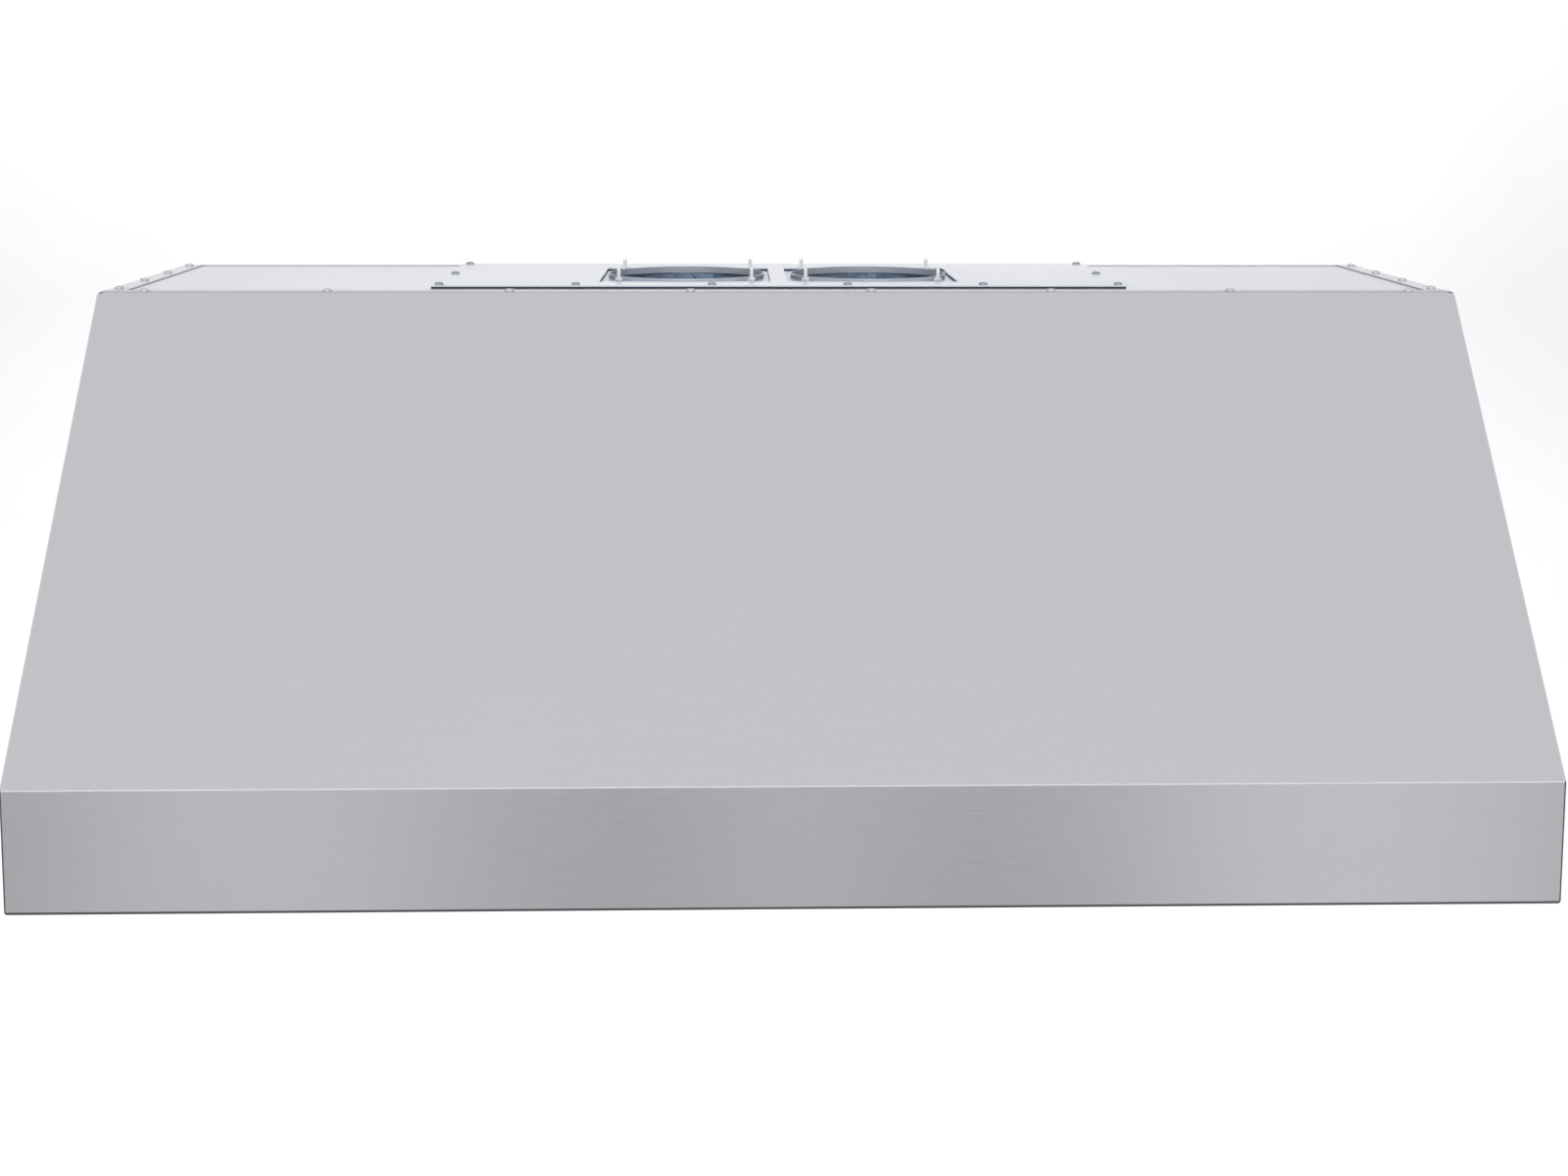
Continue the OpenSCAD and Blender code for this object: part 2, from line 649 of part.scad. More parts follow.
module switch_plate() color([0.70, 0.70, 0.72]) difference() {
  box([-switch_len / 2 - switch_rim, lamp_y - switch_w / 2 - switch_rim, rail_z - switch_plate_t],
      [switch_len / 2 + switch_rim, lamp_y + switch_w / 2 + switch_rim, rail_z]);
  for (k = [0:4]) translate([button_x(k), lamp_y, rail_z - switch_plate_t - 1])
    cylinder(r = button_r + button_clear, h = switch_plate_t + 2);
}

module switch_body() color([0.10, 0.10, 0.11]) difference() {
  box([-switch_len / 2, lamp_y - switch_w / 2, rail_z], [switch_len / 2, lamp_y + switch_w / 2, rail_z + switch_h]);
  for (k = [0:4]) translate([button_x(k), lamp_y, rail_z - 1])
    cylinder(r = button_r + button_clear, h = 1 + button_in + button_travel + 1);
}

module button(k) color([0.82, 0.82, 0.84]) translate([button_x(k), lamp_y, rail_z - switch_plate_t - button_out]) {
  cylinder(r1 = button_r - 0.8, r2 = button_r, h = 0.8);
  translate([0, 0, 0.8]) cylinder(r = button_r, h = button_out + switch_plate_t + button_in - 0.8);
}

// The can passes up through the rail; its bezel bears on the rail from below.
module lamp_housing(k) color([0.70, 0.70, 0.72]) translate([lamp_x(k), lamp_y, rail_z]) rotate_extrude($fn = 64)
  polygon([[lamp_r - 3, -1.6], [lamp_r + bezel_w - 1, -1.6], [lamp_r + bezel_w, -0.8], [lamp_r + bezel_w, 0],
           [lamp_r, 0], [lamp_r, lamp_h - 4], [lamp_r - 8, lamp_h], [0, lamp_h], [0, lamp_h - 2],
           [lamp_r - 9, lamp_h - 2], [lamp_r - 2, lamp_h - 5.5], [lamp_r - 2, 1.6], [lamp_r - 3, 1.6]]);

module lamp_lens(k) color([0.93, 0.94, 0.95, 0.7]) translate([lamp_x(k), lamp_y, rail_z]) {
  translate([0, 0, -0.9]) cylinder(r = lamp_r - 3.1, h = 2.5, $fn = 64);
  translate([0, 0, 1.6]) cylinder(r = lamp_r - 2.1, h = 1.4, $fn = 64);
}

function lamp_x(k) = [-lamp_outer_x, -lamp_inner_x, lamp_inner_x, lamp_outer_x][k];

// ---------- electrics ----------

box_low = [box_x - box_size[0] / 2, back_inner - box_size[1], box_z - box_size[2] / 2];
box_high = [box_x + box_size[0] / 2, back_inner, box_z + box_size[2] / 2];

module junction_box() color([0.68, 0.70, 0.72]) difference() {
  box(box_low, box_high);
  box(box_low + [box_wall, -1, box_wall], box_high - [box_wall, box_wall, box_wall]);
  translate([box_x, back_y, box_z]) rotate([90, 0, 0]) cylinder(r = bushing_r, h = 10);
}

module junction_box_cover() color([0.72, 0.74, 0.76]) {
  box(box_low - [4, 1.2, 4], [box_high[0] + 4, box_low[1], box_high[2] + 4]);
  for (s = [-1, 1]) translate([box_x + s * 40, box_low[1] - 1.2, box_z]) rotate([90, 0, 0]) cylinder(r = 4, h = 2);
}

// The bushing clips through the wall and the back of the junction box from inside.
module cable_bushing() color([0.08, 0.08, 0.09]) translate([box_x, back_y, box_z]) rotate([90, 0, 0]) difference() {
  union() {
    cylinder(r = bushing_r - 0.1, h = sheet_t + box_wall + 4);
    translate([0, 0, sheet_t + box_wall]) cylinder(r = bushing_r + 3, h = 4);
  }
  translate([0, 0, -1]) cylinder(r = bushing_bore, h = 10);
}

module led_driver() color([0.90, 0.90, 0.88]) {
  box([driver_x[0], back_inner - driver_d, box_z - driver_h / 2], [driver_x[1], back_inner, box_z + driver_h / 2]);
  for (x = [driver_x[0] - 12, driver_x[1]]) box([x, back_inner - 2, box_z - 10], [x + 12, back_inner, box_z + 10]);
}

// One cable goes to the motors, one to the lamp driver and on to the lamps, and one to the switch.
module wiring_harness() color([0.12, 0.12, 0.13]) {
  motor_rear = motor_end_x - motor_l;
  cable([[box_low[0], motor_wire_y, box_z], [0, motor_wire_y, box_z], [0, motor_wire_y, axis_z],
         [0, axis_y, axis_z]], wire_r, wire_bend);
  rod([-motor_rear, axis_y, axis_z], [motor_rear, axis_y, axis_z], wire_r);
  rod([driver_x[1], driver_wire_y, box_z + 15], [box_low[0], driver_wire_y, box_z + 15], wire_r);
  cable([[driver_x[0], driver_wire_y, box_z], [-wire_side_x, driver_wire_y, box_z],
         [-wire_side_x, driver_wire_y, lamp_wire_z], [-wire_side_x, lamp_wire_y, lamp_wire_z],
         [lamp_outer_x + wire_r, lamp_wire_y, lamp_wire_z]], wire_r, wire_bend);
  for (k = [0:3]) cable([[lamp_x(k), lamp_wire_y, lamp_wire_z], [lamp_x(k), lamp_y, lamp_wire_z],
                         [lamp_x(k), lamp_y, rail_z + lamp_h]], 2.5, 6);
  cable([[box_high[0], motor_wire_y, box_z], [wire_side_x, motor_wire_y, box_z],
         [wire_side_x, motor_wire_y, switch_wire_z], [wire_side_x, lamp_wire_y, switch_wire_z],
         [switch_wire_x, lamp_wire_y, switch_wire_z], [switch_wire_x, lamp_y, switch_wire_z],
         [switch_wire_x, lamp_y, rail_z + switch_h]], wire_r, 8);
}

front_panel();
on_side(LEFT) side_panel();  // left_side_panel
on_side(RIGHT) side_panel();  // right_side_panel
top_panel();
back_panel();
blower_plate();
plate_gasket();
casing_screws();
plate_screws();
front_rail();
rear_trough();
on_side(LEFT) side_rail();  // left_side_rail
on_side(RIGHT) side_rail();  // right_side_rail
filter_clips();
for (i = [0:FILTERS - 1]) {
  filter_frame(i);
  filter_baffles(i);
  filter_handle(i);
  lamp_housing(i);
  lamp_lens(i);
}
on_side(LEFT) grease_cup();  // left_grease_cup
on_side(RIGHT) grease_cup();  // right_grease_cup
switch_plate();
switch_body();
button(0);  // light_button
button(1);  // off_button
button(2);  // low_button
button(3);  // medium_button
button(4);  // high_button
on_side(LEFT) scroll_case();  // left_scroll_case
on_side(RIGHT) scroll_case();  // right_scroll_case
on_side(LEFT) inlet_cover();  // left_inlet_cover
on_side(RIGHT) inlet_cover();  // right_inlet_cover
on_side(LEFT) outlet_ring();  // left_outlet_ring
on_side(RIGHT) outlet_ring();  // right_outlet_ring
on_side(LEFT) impeller();  // left_impeller
on_side(RIGHT) impeller();  // right_impeller
on_side(LEFT) motor();  // left_motor
on_side(RIGHT) motor();  // right_motor
duct_studs();
run_capacitors();
junction_box();
junction_box_cover();
led_driver();
wiring_harness();
cable_bushing();
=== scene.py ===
"""Stainless under cabinet range hood: finishes, fine pieces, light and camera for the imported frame."""

import json
import math
import random

import bmesh
import bpy
from mathutils import Matrix, Vector


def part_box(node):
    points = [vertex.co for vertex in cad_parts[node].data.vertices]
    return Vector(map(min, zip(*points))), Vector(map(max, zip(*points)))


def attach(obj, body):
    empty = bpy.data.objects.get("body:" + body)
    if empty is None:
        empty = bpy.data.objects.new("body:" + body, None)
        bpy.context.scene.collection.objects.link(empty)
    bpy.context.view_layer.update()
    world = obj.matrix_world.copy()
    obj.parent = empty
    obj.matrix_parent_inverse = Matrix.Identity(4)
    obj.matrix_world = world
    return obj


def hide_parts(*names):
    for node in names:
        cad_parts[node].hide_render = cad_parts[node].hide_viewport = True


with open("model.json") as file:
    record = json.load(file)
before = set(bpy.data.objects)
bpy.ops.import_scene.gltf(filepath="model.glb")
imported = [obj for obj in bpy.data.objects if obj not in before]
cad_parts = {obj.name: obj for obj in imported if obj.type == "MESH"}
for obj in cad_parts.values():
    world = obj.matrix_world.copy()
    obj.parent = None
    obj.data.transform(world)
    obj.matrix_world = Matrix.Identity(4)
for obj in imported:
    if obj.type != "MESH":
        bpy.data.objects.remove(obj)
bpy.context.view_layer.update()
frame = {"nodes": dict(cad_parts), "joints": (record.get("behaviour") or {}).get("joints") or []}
NODES = frame["nodes"]
MM = 0.001
random.seed(7)

# A filter before it is tilted up about its hinge: the tilt in degrees, how far its front and rear ends lie
# from the hinge, and the height of its underside.
FILTER_TILT = 8
FILTER_REACH = 428 * MM
FILTER_START = 3 * MM
FILTER_RISE = 1 * MM

# The height that the lamps' cable runs at, its radius, and the radius of a run capacitor.
CABLE_LOW_Z = 60 * MM
CABLE_R = 3.5 * MM
CAPACITOR_R = 18 * MM

# The paper sweep: its floor's height and front edge, where it starts to curve up, the curve's radius, the
# wall's top, half its width, and the number of steps in the curve.
FLOOR_Z = -3.4
SWEEP_FRONT = -30.0
SWEEP_BACK = 6.0
SWEEP_R = 3.0
SWEEP_TOP = 16.0
SWEEP_HALF = 30.0
SWEEP_STEPS = 24

# Upright softboxes low in front, seen as soft bands in the steel below the bend: name, x, width and power,
# and then the place and height that all of them share.
STRIPS = [
    ("left_strip", -1.15, 0.8, 2.5),
    ("middle_strip", 0.1, 0.2, 0.75),
    ("right_strip", 1.45, 0.9, 3.6),
]
STRIP_Y = -3.6
STRIP_Z = -1.1
STRIP_H = 2.4

# The photograph's camera: place in metres, the lens and its shift, and the tilt, roll and turn in degrees.
CAMERA_PLACE = (-0.048, -1.922, 0.634)
CAMERA_LENS = 49.44
CAMERA_SHIFT = -0.15
CAMERA_TILT = -6.88
CAMERA_ROLL = -0.13
CAMERA_TURN = -1.49

# A brushed grain along X or Y: how its noise is drawn out, and the shader's tangent that goes with it.
GRAIN_X = ((0.005, 1.0, 1.0), (0.0, 0.5, 1.0))
GRAIN_Y = ((1.0, 0.005, 1.0), (1.0, 0.0, 0.4))

# Painted shade on bends: where a sheet's colour is darkened to stand for shade, by the normal's axis, its
# values where that starts and is full, and whether it stops again on the flat underneath.
LOWER_BEND_SHADE = ("Z", -0.02, -0.16, True)
FRONT_EDGE_SHADE = ("Y", -0.8, -0.95, False)
FLAT_STARTS = -0.9
FLAT_FULL = -0.985


# ---------- node helpers ----------

class Finish:
    """A material under construction: its node tree and its Principled shader."""

    def __init__(self, name):
        self.material = bpy.data.materials.new(name)
        self.material.use_nodes = True
        self.tree = self.material.node_tree
        self.shader = self.tree.nodes["Principled BSDF"]
        self.coords = self.tree.nodes.new("ShaderNodeTexCoord").outputs["Object"]

    def node(self, kind, **settings):
        made = self.tree.nodes.new("ShaderNode" + kind)
        for name, value in settings.items():
            setattr(made, name, value)
        return made

    def link(self, source, target):
        self.tree.links.new(source, target)

    def set(self, **values):
        for name, value in values.items():
            self.shader.inputs[name.replace("_", " ")].default_value = value
        return self

    def stretched(self, scale):
        mapping = self.node("Mapping")
        mapping.inputs["Scale"].default_value = scale
        self.link(self.coords, mapping.inputs["Vector"])
        return mapping.outputs["Vector"]

    def noise(self, scale, detail=3.0, stretch=(1, 1, 1), rough=0.55):
        made = self.node("TexNoise")
        made.inputs["Scale"].default_value = scale
        made.inputs["Detail"].default_value = detail
        made.inputs["Roughness"].default_value = rough
        self.link(self.stretched(stretch), made.inputs["Vector"])
        return made.outputs["Fac"]

    def cells(self, scale):
        """The outputs of a cell pattern: Color is one value to a cell, and Distance runs from its middle."""
        made = self.node("TexVoronoi")
        made.inputs["Scale"].default_value = scale
        self.link(self.coords, made.inputs["Vector"])
        return made.outputs

    def between(self, value, low, high, from_low=0.3, from_high=0.7):
        """Spreads the usual range of a noise, or the one given, from low to high."""
        made = self.node("MapRange")
        made.inputs["From Min"].default_value = from_low
        made.inputs["From Max"].default_value = from_high
        made.inputs["To Min"].default_value = low
        made.inputs["To Max"].default_value = high
        self.link(value, made.inputs["Value"])
        return made.outputs["Result"]

    def added(self, a, b, operation="ADD"):
        made = self.node("Math", operation=operation)
        self.link(a, made.inputs[0])
        if isinstance(b, (int, float)):
            made.inputs[1].default_value = b
        else:
            self.link(b, made.inputs[1])
        return made.outputs[0]

    def mixed(self, fac, a, b):
        """Blends from a to b, each a colour of three numbers or another node's output."""
        made = self.node("Mix", data_type="RGBA")
        self.link(fac, made.inputs["Factor"])
        for socket, colour in (("A", a), ("B", b)):
            if isinstance(colour, tuple):
                made.inputs[socket].default_value = (*colour, 1)
            else:
                self.link(colour, made.inputs[socket])
        return made.outputs["Result"]

    def facing(self, axis, low, high):
        """0 on faces whose normal is above low along the axis, rising to 1 as it falls to high."""
        coords = self.node("TexCoord")
        parts = self.node("SeparateXYZ")
        self.link(coords.outputs["Normal"], parts.inputs[0])
        return self.between(parts.outputs[axis], 0, 1, low, high)

    def colour(self, output):
        self.link(output, self.shader.inputs["Base Color"])

    def roughness(self, output):
        self.link(output, self.shader.inputs["Roughness"])

    def bump(self, height, strength, distance):
        made = self.node("Bump")
        made.inputs["Strength"].default_value = strength
        made.inputs["Distance"].default_value = distance
        self.link(height, made.inputs["Height"])
        self.link(made.outputs["Normal"], self.shader.inputs["Normal"])

    def tangent(self, direction):
        made = self.node("CombineXYZ")
        for axis, value in zip("XYZ", direction):
            made.inputs[axis].default_value = value
        self.link(made.outputs["Vector"], self.shader.inputs["Tangent"])


def shade(colour, gain):
    return tuple(min(1.0, c * gain) for c in colour)


# ---------- finishes ----------

def brushed(name, colour, grain, rough=0.34, anisotropy=0.7, smudge=0.02, contrast=0.05, painted_shade=None):
    """Long fine scratches along the grain, broader tone streaks, and faint cloudy handling marks.

    The last argument is one of the two tables of painted bend shade, which darkens the colour on those bends,
    or None where the sheet is bright all over.
    """
    stretch, tangent = grain
    broad_contrast = contrast * 0.6
    f = Finish(name).set(Metallic=1.0, Anisotropic=anisotropy)
    fine = f.noise(5000, detail=2.0, stretch=stretch)
    broad = f.noise(1100, detail=2.0, stretch=stretch)
    cloud = f.noise(5.5, detail=4.0)
    streaks = f.added(f.between(fine, -contrast, contrast), f.between(broad, -broad_contrast, broad_contrast))
    tone = f.mixed(f.added(streaks, 0.5), shade(colour, 0.82), shade(colour, 1.18))
    # Painted shade: on the chosen bends the colour falls to about a fifth, standing for the shade there.
    if painted_shade:
        axis, low, high, bend_only = painted_shade
        share = f.facing(axis, low, high)
        if bend_only:
            share = f.added(share, f.facing(axis, FLAT_STARTS, FLAT_FULL), "SUBTRACT")
        tone = f.mixed(share, tone, shade(colour, 0.22))
    f.colour(tone)
    f.roughness(f.added(f.between(fine, rough - 0.05, rough + 0.05), f.between(cloud, -smudge, smudge)))
    f.bump(fine, strength=0.1, distance=0.00001)
    f.tangent(tangent)
    return f.material


def galvanised(name, colour, rough=0.42):
    """Zinc spangle: crystals a few millimetres across, each lighter or darker, over fine mottling."""
    f = Finish(name).set(Metallic=1.0)
    crystal = f.node("SeparateColor")
    f.link(f.cells(120)["Color"], crystal.inputs["Color"])
    spangle = f.between(crystal.outputs["Red"], 0.15, 0.7, from_low=0, from_high=1)
    mottle = f.between(f.noise(40, detail=5.0), 0.0, 0.3)
    f.colour(f.mixed(f.added(spangle, mottle), shade(colour, 0.72), shade(colour, 1.15)))
    f.roughness(f.between(crystal.outputs["Green"], rough - 0.1, rough + 0.12, from_low=0, from_high=1))
    f.bump(f.noise(900, detail=3.0), strength=0.08, distance=0.00005)
    return f.material


def turned(name, colour, rough=0.25, bands=2500, contrast=0.08):
    """Fine ring marks left by a lathe or by plating over rolled stock."""
    f = Finish(name).set(Metallic=1.0)
    rings = f.noise(bands, detail=2.0)
    wear = f.noise(60, detail=4.0)
    spread = contrast * 4
    tone = f.between(wear, 0.5 - spread, 0.5 + spread)
    f.colour(f.mixed(tone, shade(colour, 0.8), shade(colour, 1.15)))
    f.roughness(f.added(f.between(rings, rough - 0.04, rough + 0.04), f.between(wear, -0.04, 0.08)))
    f.bump(rings, strength=0.1, distance=0.00003)
    return f.material


def enamel(name, colour, rough=0.38, metallic=0.0):
    """Sprayed enamel: slight orange peel, dust and rubbed patches."""
    f = Finish(name).set(Metallic=metallic)
    peel = f.noise(700, detail=2.0)
    dust = f.noise(25, detail=5.0)
    f.colour(f.mixed(f.between(dust, 0.0, 1.0), shade(colour, 0.8), shade(colour, 1.5)))
    f.roughness(f.added(f.between(peel, rough - 0.03, rough + 0.03), f.between(dust, -0.06, 0.14)))
    f.bump(peel, strength=0.15, distance=0.00008)
    return f.material


def moulded(name, colour, rough=0.5, grain=1200):
    """Moulded plastic or rubber with a spark-eroded grain and a dusting of tone."""
    f = Finish(name)
    pits = f.noise(grain, detail=3.0)
    tone = f.noise(30, detail=4.0)
    f.colour(f.mixed(f.between(tone, 0.1, 0.9), shade(colour, 0.8), shade(colour, 1.25)))
    f.roughness(f.added(f.between(pits, rough - 0.06, rough + 0.06), f.between(tone, -0.05, 0.08)))
    f.bump(pits, strength=0.3, distance=0.00006)
    return f.material


def foam(name, colour):
    """Closed-cell foam strip: small open pore cells at its cut edge, their hollows also darkened in colour as
    painted shade.
    """
    f = Finish(name)
    pore_depth_and_shade = f.cells(1500)["Distance"]
    tone = f.between(pore_depth_and_shade, 0, 1, from_low=0, from_high=0.8)
    # Painted shade: the colour darkens towards each pore's middle.
    f.colour(f.mixed(tone, shade(colour, 0.5), shade(colour, 1.6)))
    f.roughness(f.between(f.noise(300, detail=2.0), 0.75, 0.95))
    f.bump(pore_depth_and_shade, strength=0.6, distance=0.0003)
    return f.material


def frosted(name, colour):
    """Lamp glass, satin inside and dimpled to spread the light."""
    f = Finish(name).set(IOR=1.49, Transmission_Weight=0.75)
    tone = f.between(f.noise(50, detail=3.0), 0.2, 0.8)
    f.colour(f.mixed(tone, shade(colour, 0.93), shade(colour, 1.05)))
    f.roughness(f.between(f.noise(200, detail=2.0), 0.22, 0.34))
    f.bump(f.cells(330)["Distance"], strength=0.35, distance=0.0005)
    return f.material


def glowing(name, colour, strength):
    """A yellow phosphor chip, its tone varying a little with a fine grain."""
    f = Finish(name).set(Roughness=0.4, Emission_Strength=strength)
    grains = f.between(f.noise(900, detail=2.0), 0, 1)
    tone = f.mixed(grains, shade(colour, 0.9), shade(colour, 1.1))
    f.colour(tone)
    f.link(tone, f.shader.inputs["Emission Color"])
    return f.material


MATERIALS = {
    # The face's lower bend and the sides' front edges get painted shade, a much darker colour on those bends.
    "face": brushed("brushed_steel_face", (0.515, 0.515, 0.53), GRAIN_X, rough=0.31, contrast=0.025,
                    painted_shade=LOWER_BEND_SHADE),
    "side": brushed("brushed_steel_side", (0.57, 0.57, 0.585), GRAIN_Y, rough=0.36, painted_shade=FRONT_EDGE_SHADE),
    "top": brushed("brushed_steel_top", (0.69, 0.70, 0.73), GRAIN_X, rough=0.33, anisotropy=0.4),
    "back": brushed("brushed_steel_back", (0.52, 0.53, 0.55), GRAIN_X, rough=0.38, anisotropy=0.4),
    "ring": brushed("brushed_steel_ring", (0.62, 0.66, 0.72), GRAIN_X, rough=0.42, anisotropy=0.0),
    "rail": brushed("brushed_steel_rail", (0.58, 0.58, 0.59), GRAIN_X, rough=0.32),
    "rail_side": brushed("brushed_steel_side_rail", (0.58, 0.58, 0.59), GRAIN_Y, rough=0.32),
    "baffle": brushed("brushed_steel_baffle", (0.60, 0.61, 0.62), GRAIN_Y, rough=0.26),
    # Painted shadow: a dark steel colour for the thin strips laid over the filters' mitred joints.
    "edge": brushed("mitre_shadow_line", (0.26, 0.27, 0.30), GRAIN_X, rough=0.42, anisotropy=0.0),
    "zinc": galvanised("zinc_sheet", (0.55, 0.58, 0.62)),
    # Painted shade: the scroll cases take a darker, bluer copy of the zinc, standing for the shade inside the
    # outlets.
    "duct": galvanised("zinc_duct_shaded", (0.34, 0.44, 0.58), rough=0.36),
    "screw": turned("zinc_screw", (0.34, 0.37, 0.40), rough=0.3),
    "casing_screw": turned("casing_screw", (0.60, 0.61, 0.63), rough=0.3),
    # Painted shade: near-black beads laid in the seams, where the gap is dark with shade.
    "seam_shade": moulded("seam_shade_bead", (0.10, 0.10, 0.12), rough=0.45),
    "nut": turned("bright_nut", (0.95, 0.95, 0.96), rough=0.34, contrast=0.04),
    "bar": turned("polished_bar", (0.70, 0.70, 0.72), rough=0.15),
    "spring": turned("spring_steel", (0.40, 0.42, 0.46), rough=0.3),
    "button": turned("button_steel", (0.70, 0.70, 0.72), rough=0.2),
    "bezel": turned("bezel_steel", (0.62, 0.62, 0.64), rough=0.22),
    "wheel": enamel("wheel_black_zinc", (0.10, 0.105, 0.115), rough=0.35, metallic=0.7),
    "motor": enamel("motor_enamel", (0.018, 0.019, 0.022)),
    "can": turned("capacitor_can", (0.66, 0.67, 0.69), rough=0.28, bands=1500),
    "white": moulded("driver_shell", (0.78, 0.78, 0.75), rough=0.4),
    "black": moulded("switch_plastic", (0.015, 0.015, 0.017), rough=0.45),
    "jacket": moulded("cable_jacket", (0.02, 0.02, 0.023), rough=0.5, grain=600),
    "tie": moulded("cable_tie", (0.72, 0.72, 0.68), rough=0.4),
    "gasket": foam("gasket_foam", (0.018, 0.034, 0.060)),
    "glass": frosted("lamp_glass", (0.90, 0.92, 0.95)),
    "chip": glowing("led_chip", (1.0, 0.86, 0.55), 0.6),
    "ink": moulded("symbol_ink", (0.03, 0.03, 0.035), rough=0.35),
}


def finish_for(node):
    """Which finish a CAD node takes."""
    exact = {
        "front_panel": "face", "back_panel": "back", "top_panel": "top", "blower_plate": "top",
        "plate_gasket": "gasket", "filter_clips": "spring", "front_rail": "rail", "rear_trough": "rail",
        "switch_plate": "rail", "switch_body": "black", "run_capacitors": "can", "junction_box": "zinc",
        "junction_box_cover": "zinc", "led_driver": "white", "wiring_harness": "jacket",
        "cable_bushing": "black", "casing_screws": "casing_screw", "plate_screws": "screw",
        "duct_studs": "nut",
    }
    endings = {
        "_side_panel": "side", "_side_rail": "rail_side", "_frame": "rail_side",
        "_baffles": "baffle", "_handle": "bar", "_grease_cup": "rail",
        "_button": "button", "_housing": "bezel", "_lens": "glass",
        "_scroll_case": "duct", "_inlet_cover": "zinc", "_outlet_ring": "ring", "_impeller": "wheel",
        "_motor": "motor",
    }
    if node in exact:
        return exact[node]
    return next(value for ending, value in endings.items() if node.endswith(ending))


def dress_nodes():
    for name, obj in NODES.items():
        obj.data.materials.clear()
        obj.data.materials.append(MATERIALS[finish_for(name)])


# ---------- fine pieces ----------

def add_piece(name, bm, finish, body="canopy", replaces=(), smooth=40):
    """Turns a bmesh into a piece that rides on a CAD body."""
    mesh = bpy.data.meshes.new(name)
    bmesh.ops.recalc_face_normals(bm, faces=bm.faces)
    bm.to_mesh(mesh)
    bm.free()
    mesh.materials.append(MATERIALS[finish])
    mesh.shade_smooth()
    mesh.set_sharp_from_angle(angle=math.radians(smooth))
    obj = bpy.data.objects.new(name, mesh)
    bpy.context.scene.collection.objects.link(obj)
    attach(obj, body)
    if replaces:
        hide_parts(*replaces)
    return obj


def full_turn(steps):
    return [2 * math.pi * i / steps for i in range(steps)]


def on_circle(radius, angle, z=0.0):
    return Vector((radius * math.cos(angle), radius * math.sin(angle), z))


def join_rings(bm, low, high):
    """Faces between two rings of vertices, either of which may be a single vertex."""
    steps = max(len(low), len(high))
    for i in range(steps):
        j = (i + 1) % steps
        if len(low) == 1:
            bm.faces.new((low[0], high[i], high[j]))
        elif len(high) == 1:
            bm.faces.new((low[i], low[j], high[0]))
        else:
            bm.faces.new((low[i], low[j], high[j], high[i]))


def lathe(bm, profile, steps, matrix):
    """Turns a profile of (radius, height) points round Z. A radius of 0 closes the end on the axis."""
    rings = []
    for radius, height in profile:
        angles = full_turn(steps) if radius else [0]
        rings.append([bm.verts.new(matrix @ on_circle(radius, a, height)) for a in angles])
    for low, high in zip(rings, rings[1:]):
        join_rings(bm, low, high)


def add_block(bm, place, size):
    bmesh.ops.create_cube(bm, size=1, matrix=place @ Matrix.Diagonal((*size, 1)))


def centre(node):
    low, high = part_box(node)
    return (low + high) / 2


def islands(node):
    """The boxes of a CAD node's separate solids, as (low, high) corners, in a fixed order."""
    bm = bmesh.new()
    bm.from_mesh(NODES[node].data)
    bmesh.ops.remove_doubles(bm, verts=bm.verts, dist=1e-6)
    seen = set()
    found = []
    for start in bm.verts:
        if start in seen:
            continue
        seen.add(start)
        stack = [start]
        members = []
        while stack:
            vert = stack.pop()
            members.append(vert.co.copy())
            for edge in vert.link_edges:
                other = edge.other_vert(vert)
                if other not in seen:
                    seen.add(other)
                    stack.append(other)
        low = Vector(map(min, *members))
        high = Vector(map(max, *members))
        found.append((low, high))
    bm.free()
    return sorted(found, key=lambda b: tuple(round(c, 5) for c in b[0]))


def pan_height(share, angle):
    """A pan head's height at a share of its radius, as a share of its full height, with its cross sunk in."""
    rim = 0.42
    arm_half = 0.11
    arm_reach = 0.55
    dome = rim + (1 - rim) * math.sqrt(1 - share ** 2.6)
    near, far = sorted((abs(share * math.cos(angle)), abs(share * math.sin(angle))))
    if near < arm_half and far < arm_reach:
        return dome - 0.5 * (1 - far * 0.8)
    return dome


def cross_screw(bm, place, head_r, head_h, shank_r, shank):
    """A pan head with a cross recess, its edge rolled over, on a short shank."""
    angles = full_turn(48)
    previous = [bm.verts.new(place @ Vector((0, 0, head_h * 0.45)))]
    for share in (0.08, 0.2, 0.32, 0.42, 0.5, 0.62, 0.75, 0.88, 0.96, 1.0):
        points = [on_circle(share * head_r, a, head_h * pan_height(share, a)) for a in angles]
        ring = [bm.verts.new(place @ point) for point in points]
        join_rings(bm, previous, ring)
        previous = ring
    for radius, z in ((head_r, 0), (shank_r, 0), (shank_r, -shank)):
        ring = [bm.verts.new(place @ on_circle(radius, a, z)) for a in angles]
        join_rings(bm, previous, ring)
        previous = ring
    bm.faces.new(previous)


def build_screws(node, finish):
    """Every screw of a CAD group, remade with a cross recess turned its own way."""
    head_h = 2.4 * MM
    shank_r = 1.9 * MM
    bm = bmesh.new()
    for low, high in islands(node):
        middle = (low + high) / 2
        base = Vector((middle.x, middle.y, high.z - head_h))
        place = Matrix.Translation(base) @ Matrix.Rotation(random.uniform(0, math.pi), 4, "Z")
        cross_screw(bm, place, (high.x - low.x) / 2, head_h, shank_r, base.z - low.z)
    add_piece(node + "_cross_heads", bm, finish, replaces=(node,))


